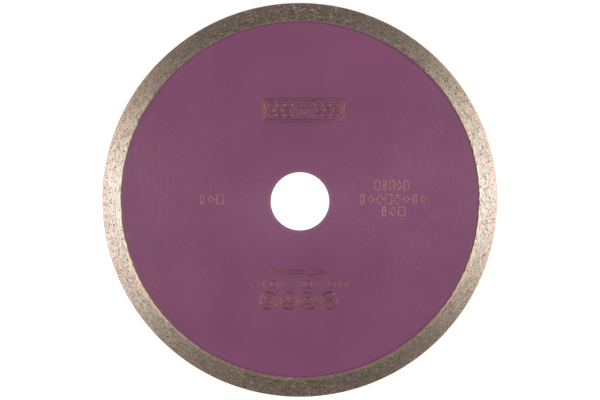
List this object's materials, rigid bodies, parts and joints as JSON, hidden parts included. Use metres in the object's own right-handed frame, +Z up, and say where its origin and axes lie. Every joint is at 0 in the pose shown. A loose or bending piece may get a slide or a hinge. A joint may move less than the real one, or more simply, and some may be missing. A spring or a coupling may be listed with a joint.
{
  "type": "diamond blade",
  "caption": "Flat round continuous-rim diamond blade with a plain central bore: a thin lacquered steel disc carrying a slightly thicker sintered grit rim.",
  "frame": {"origin": "centre of the bore, half-way through the blade's thickness", "axes": "+Y along the spin axis, away from the marked front face, which looks towards -Y; +Z up, towards the top of the marks; +X to the right as the marked face is read"},
  "size_m": [0.15, 0.0016, 0.15],
  "materials": {
    "core_steel": "ground steel, fine circular grain",
    "plain_bond": "ground bronze-type bond metal without grit",
    "diamond_bond": "ground bronze-type bond metal with exposed diamond grit and small pits",
    "purple_lacquer": "satin lacquer over circular grinding marks"
  },
  "bodies": {
    "root": {"steel_core": "core_steel", "bond_ring": "plain_bond", "diamond_rim": "diamond_bond", "front_lacquer": "purple_lacquer", "rear_lacquer": "purple_lacquer"}
  },
  "joints": []
}
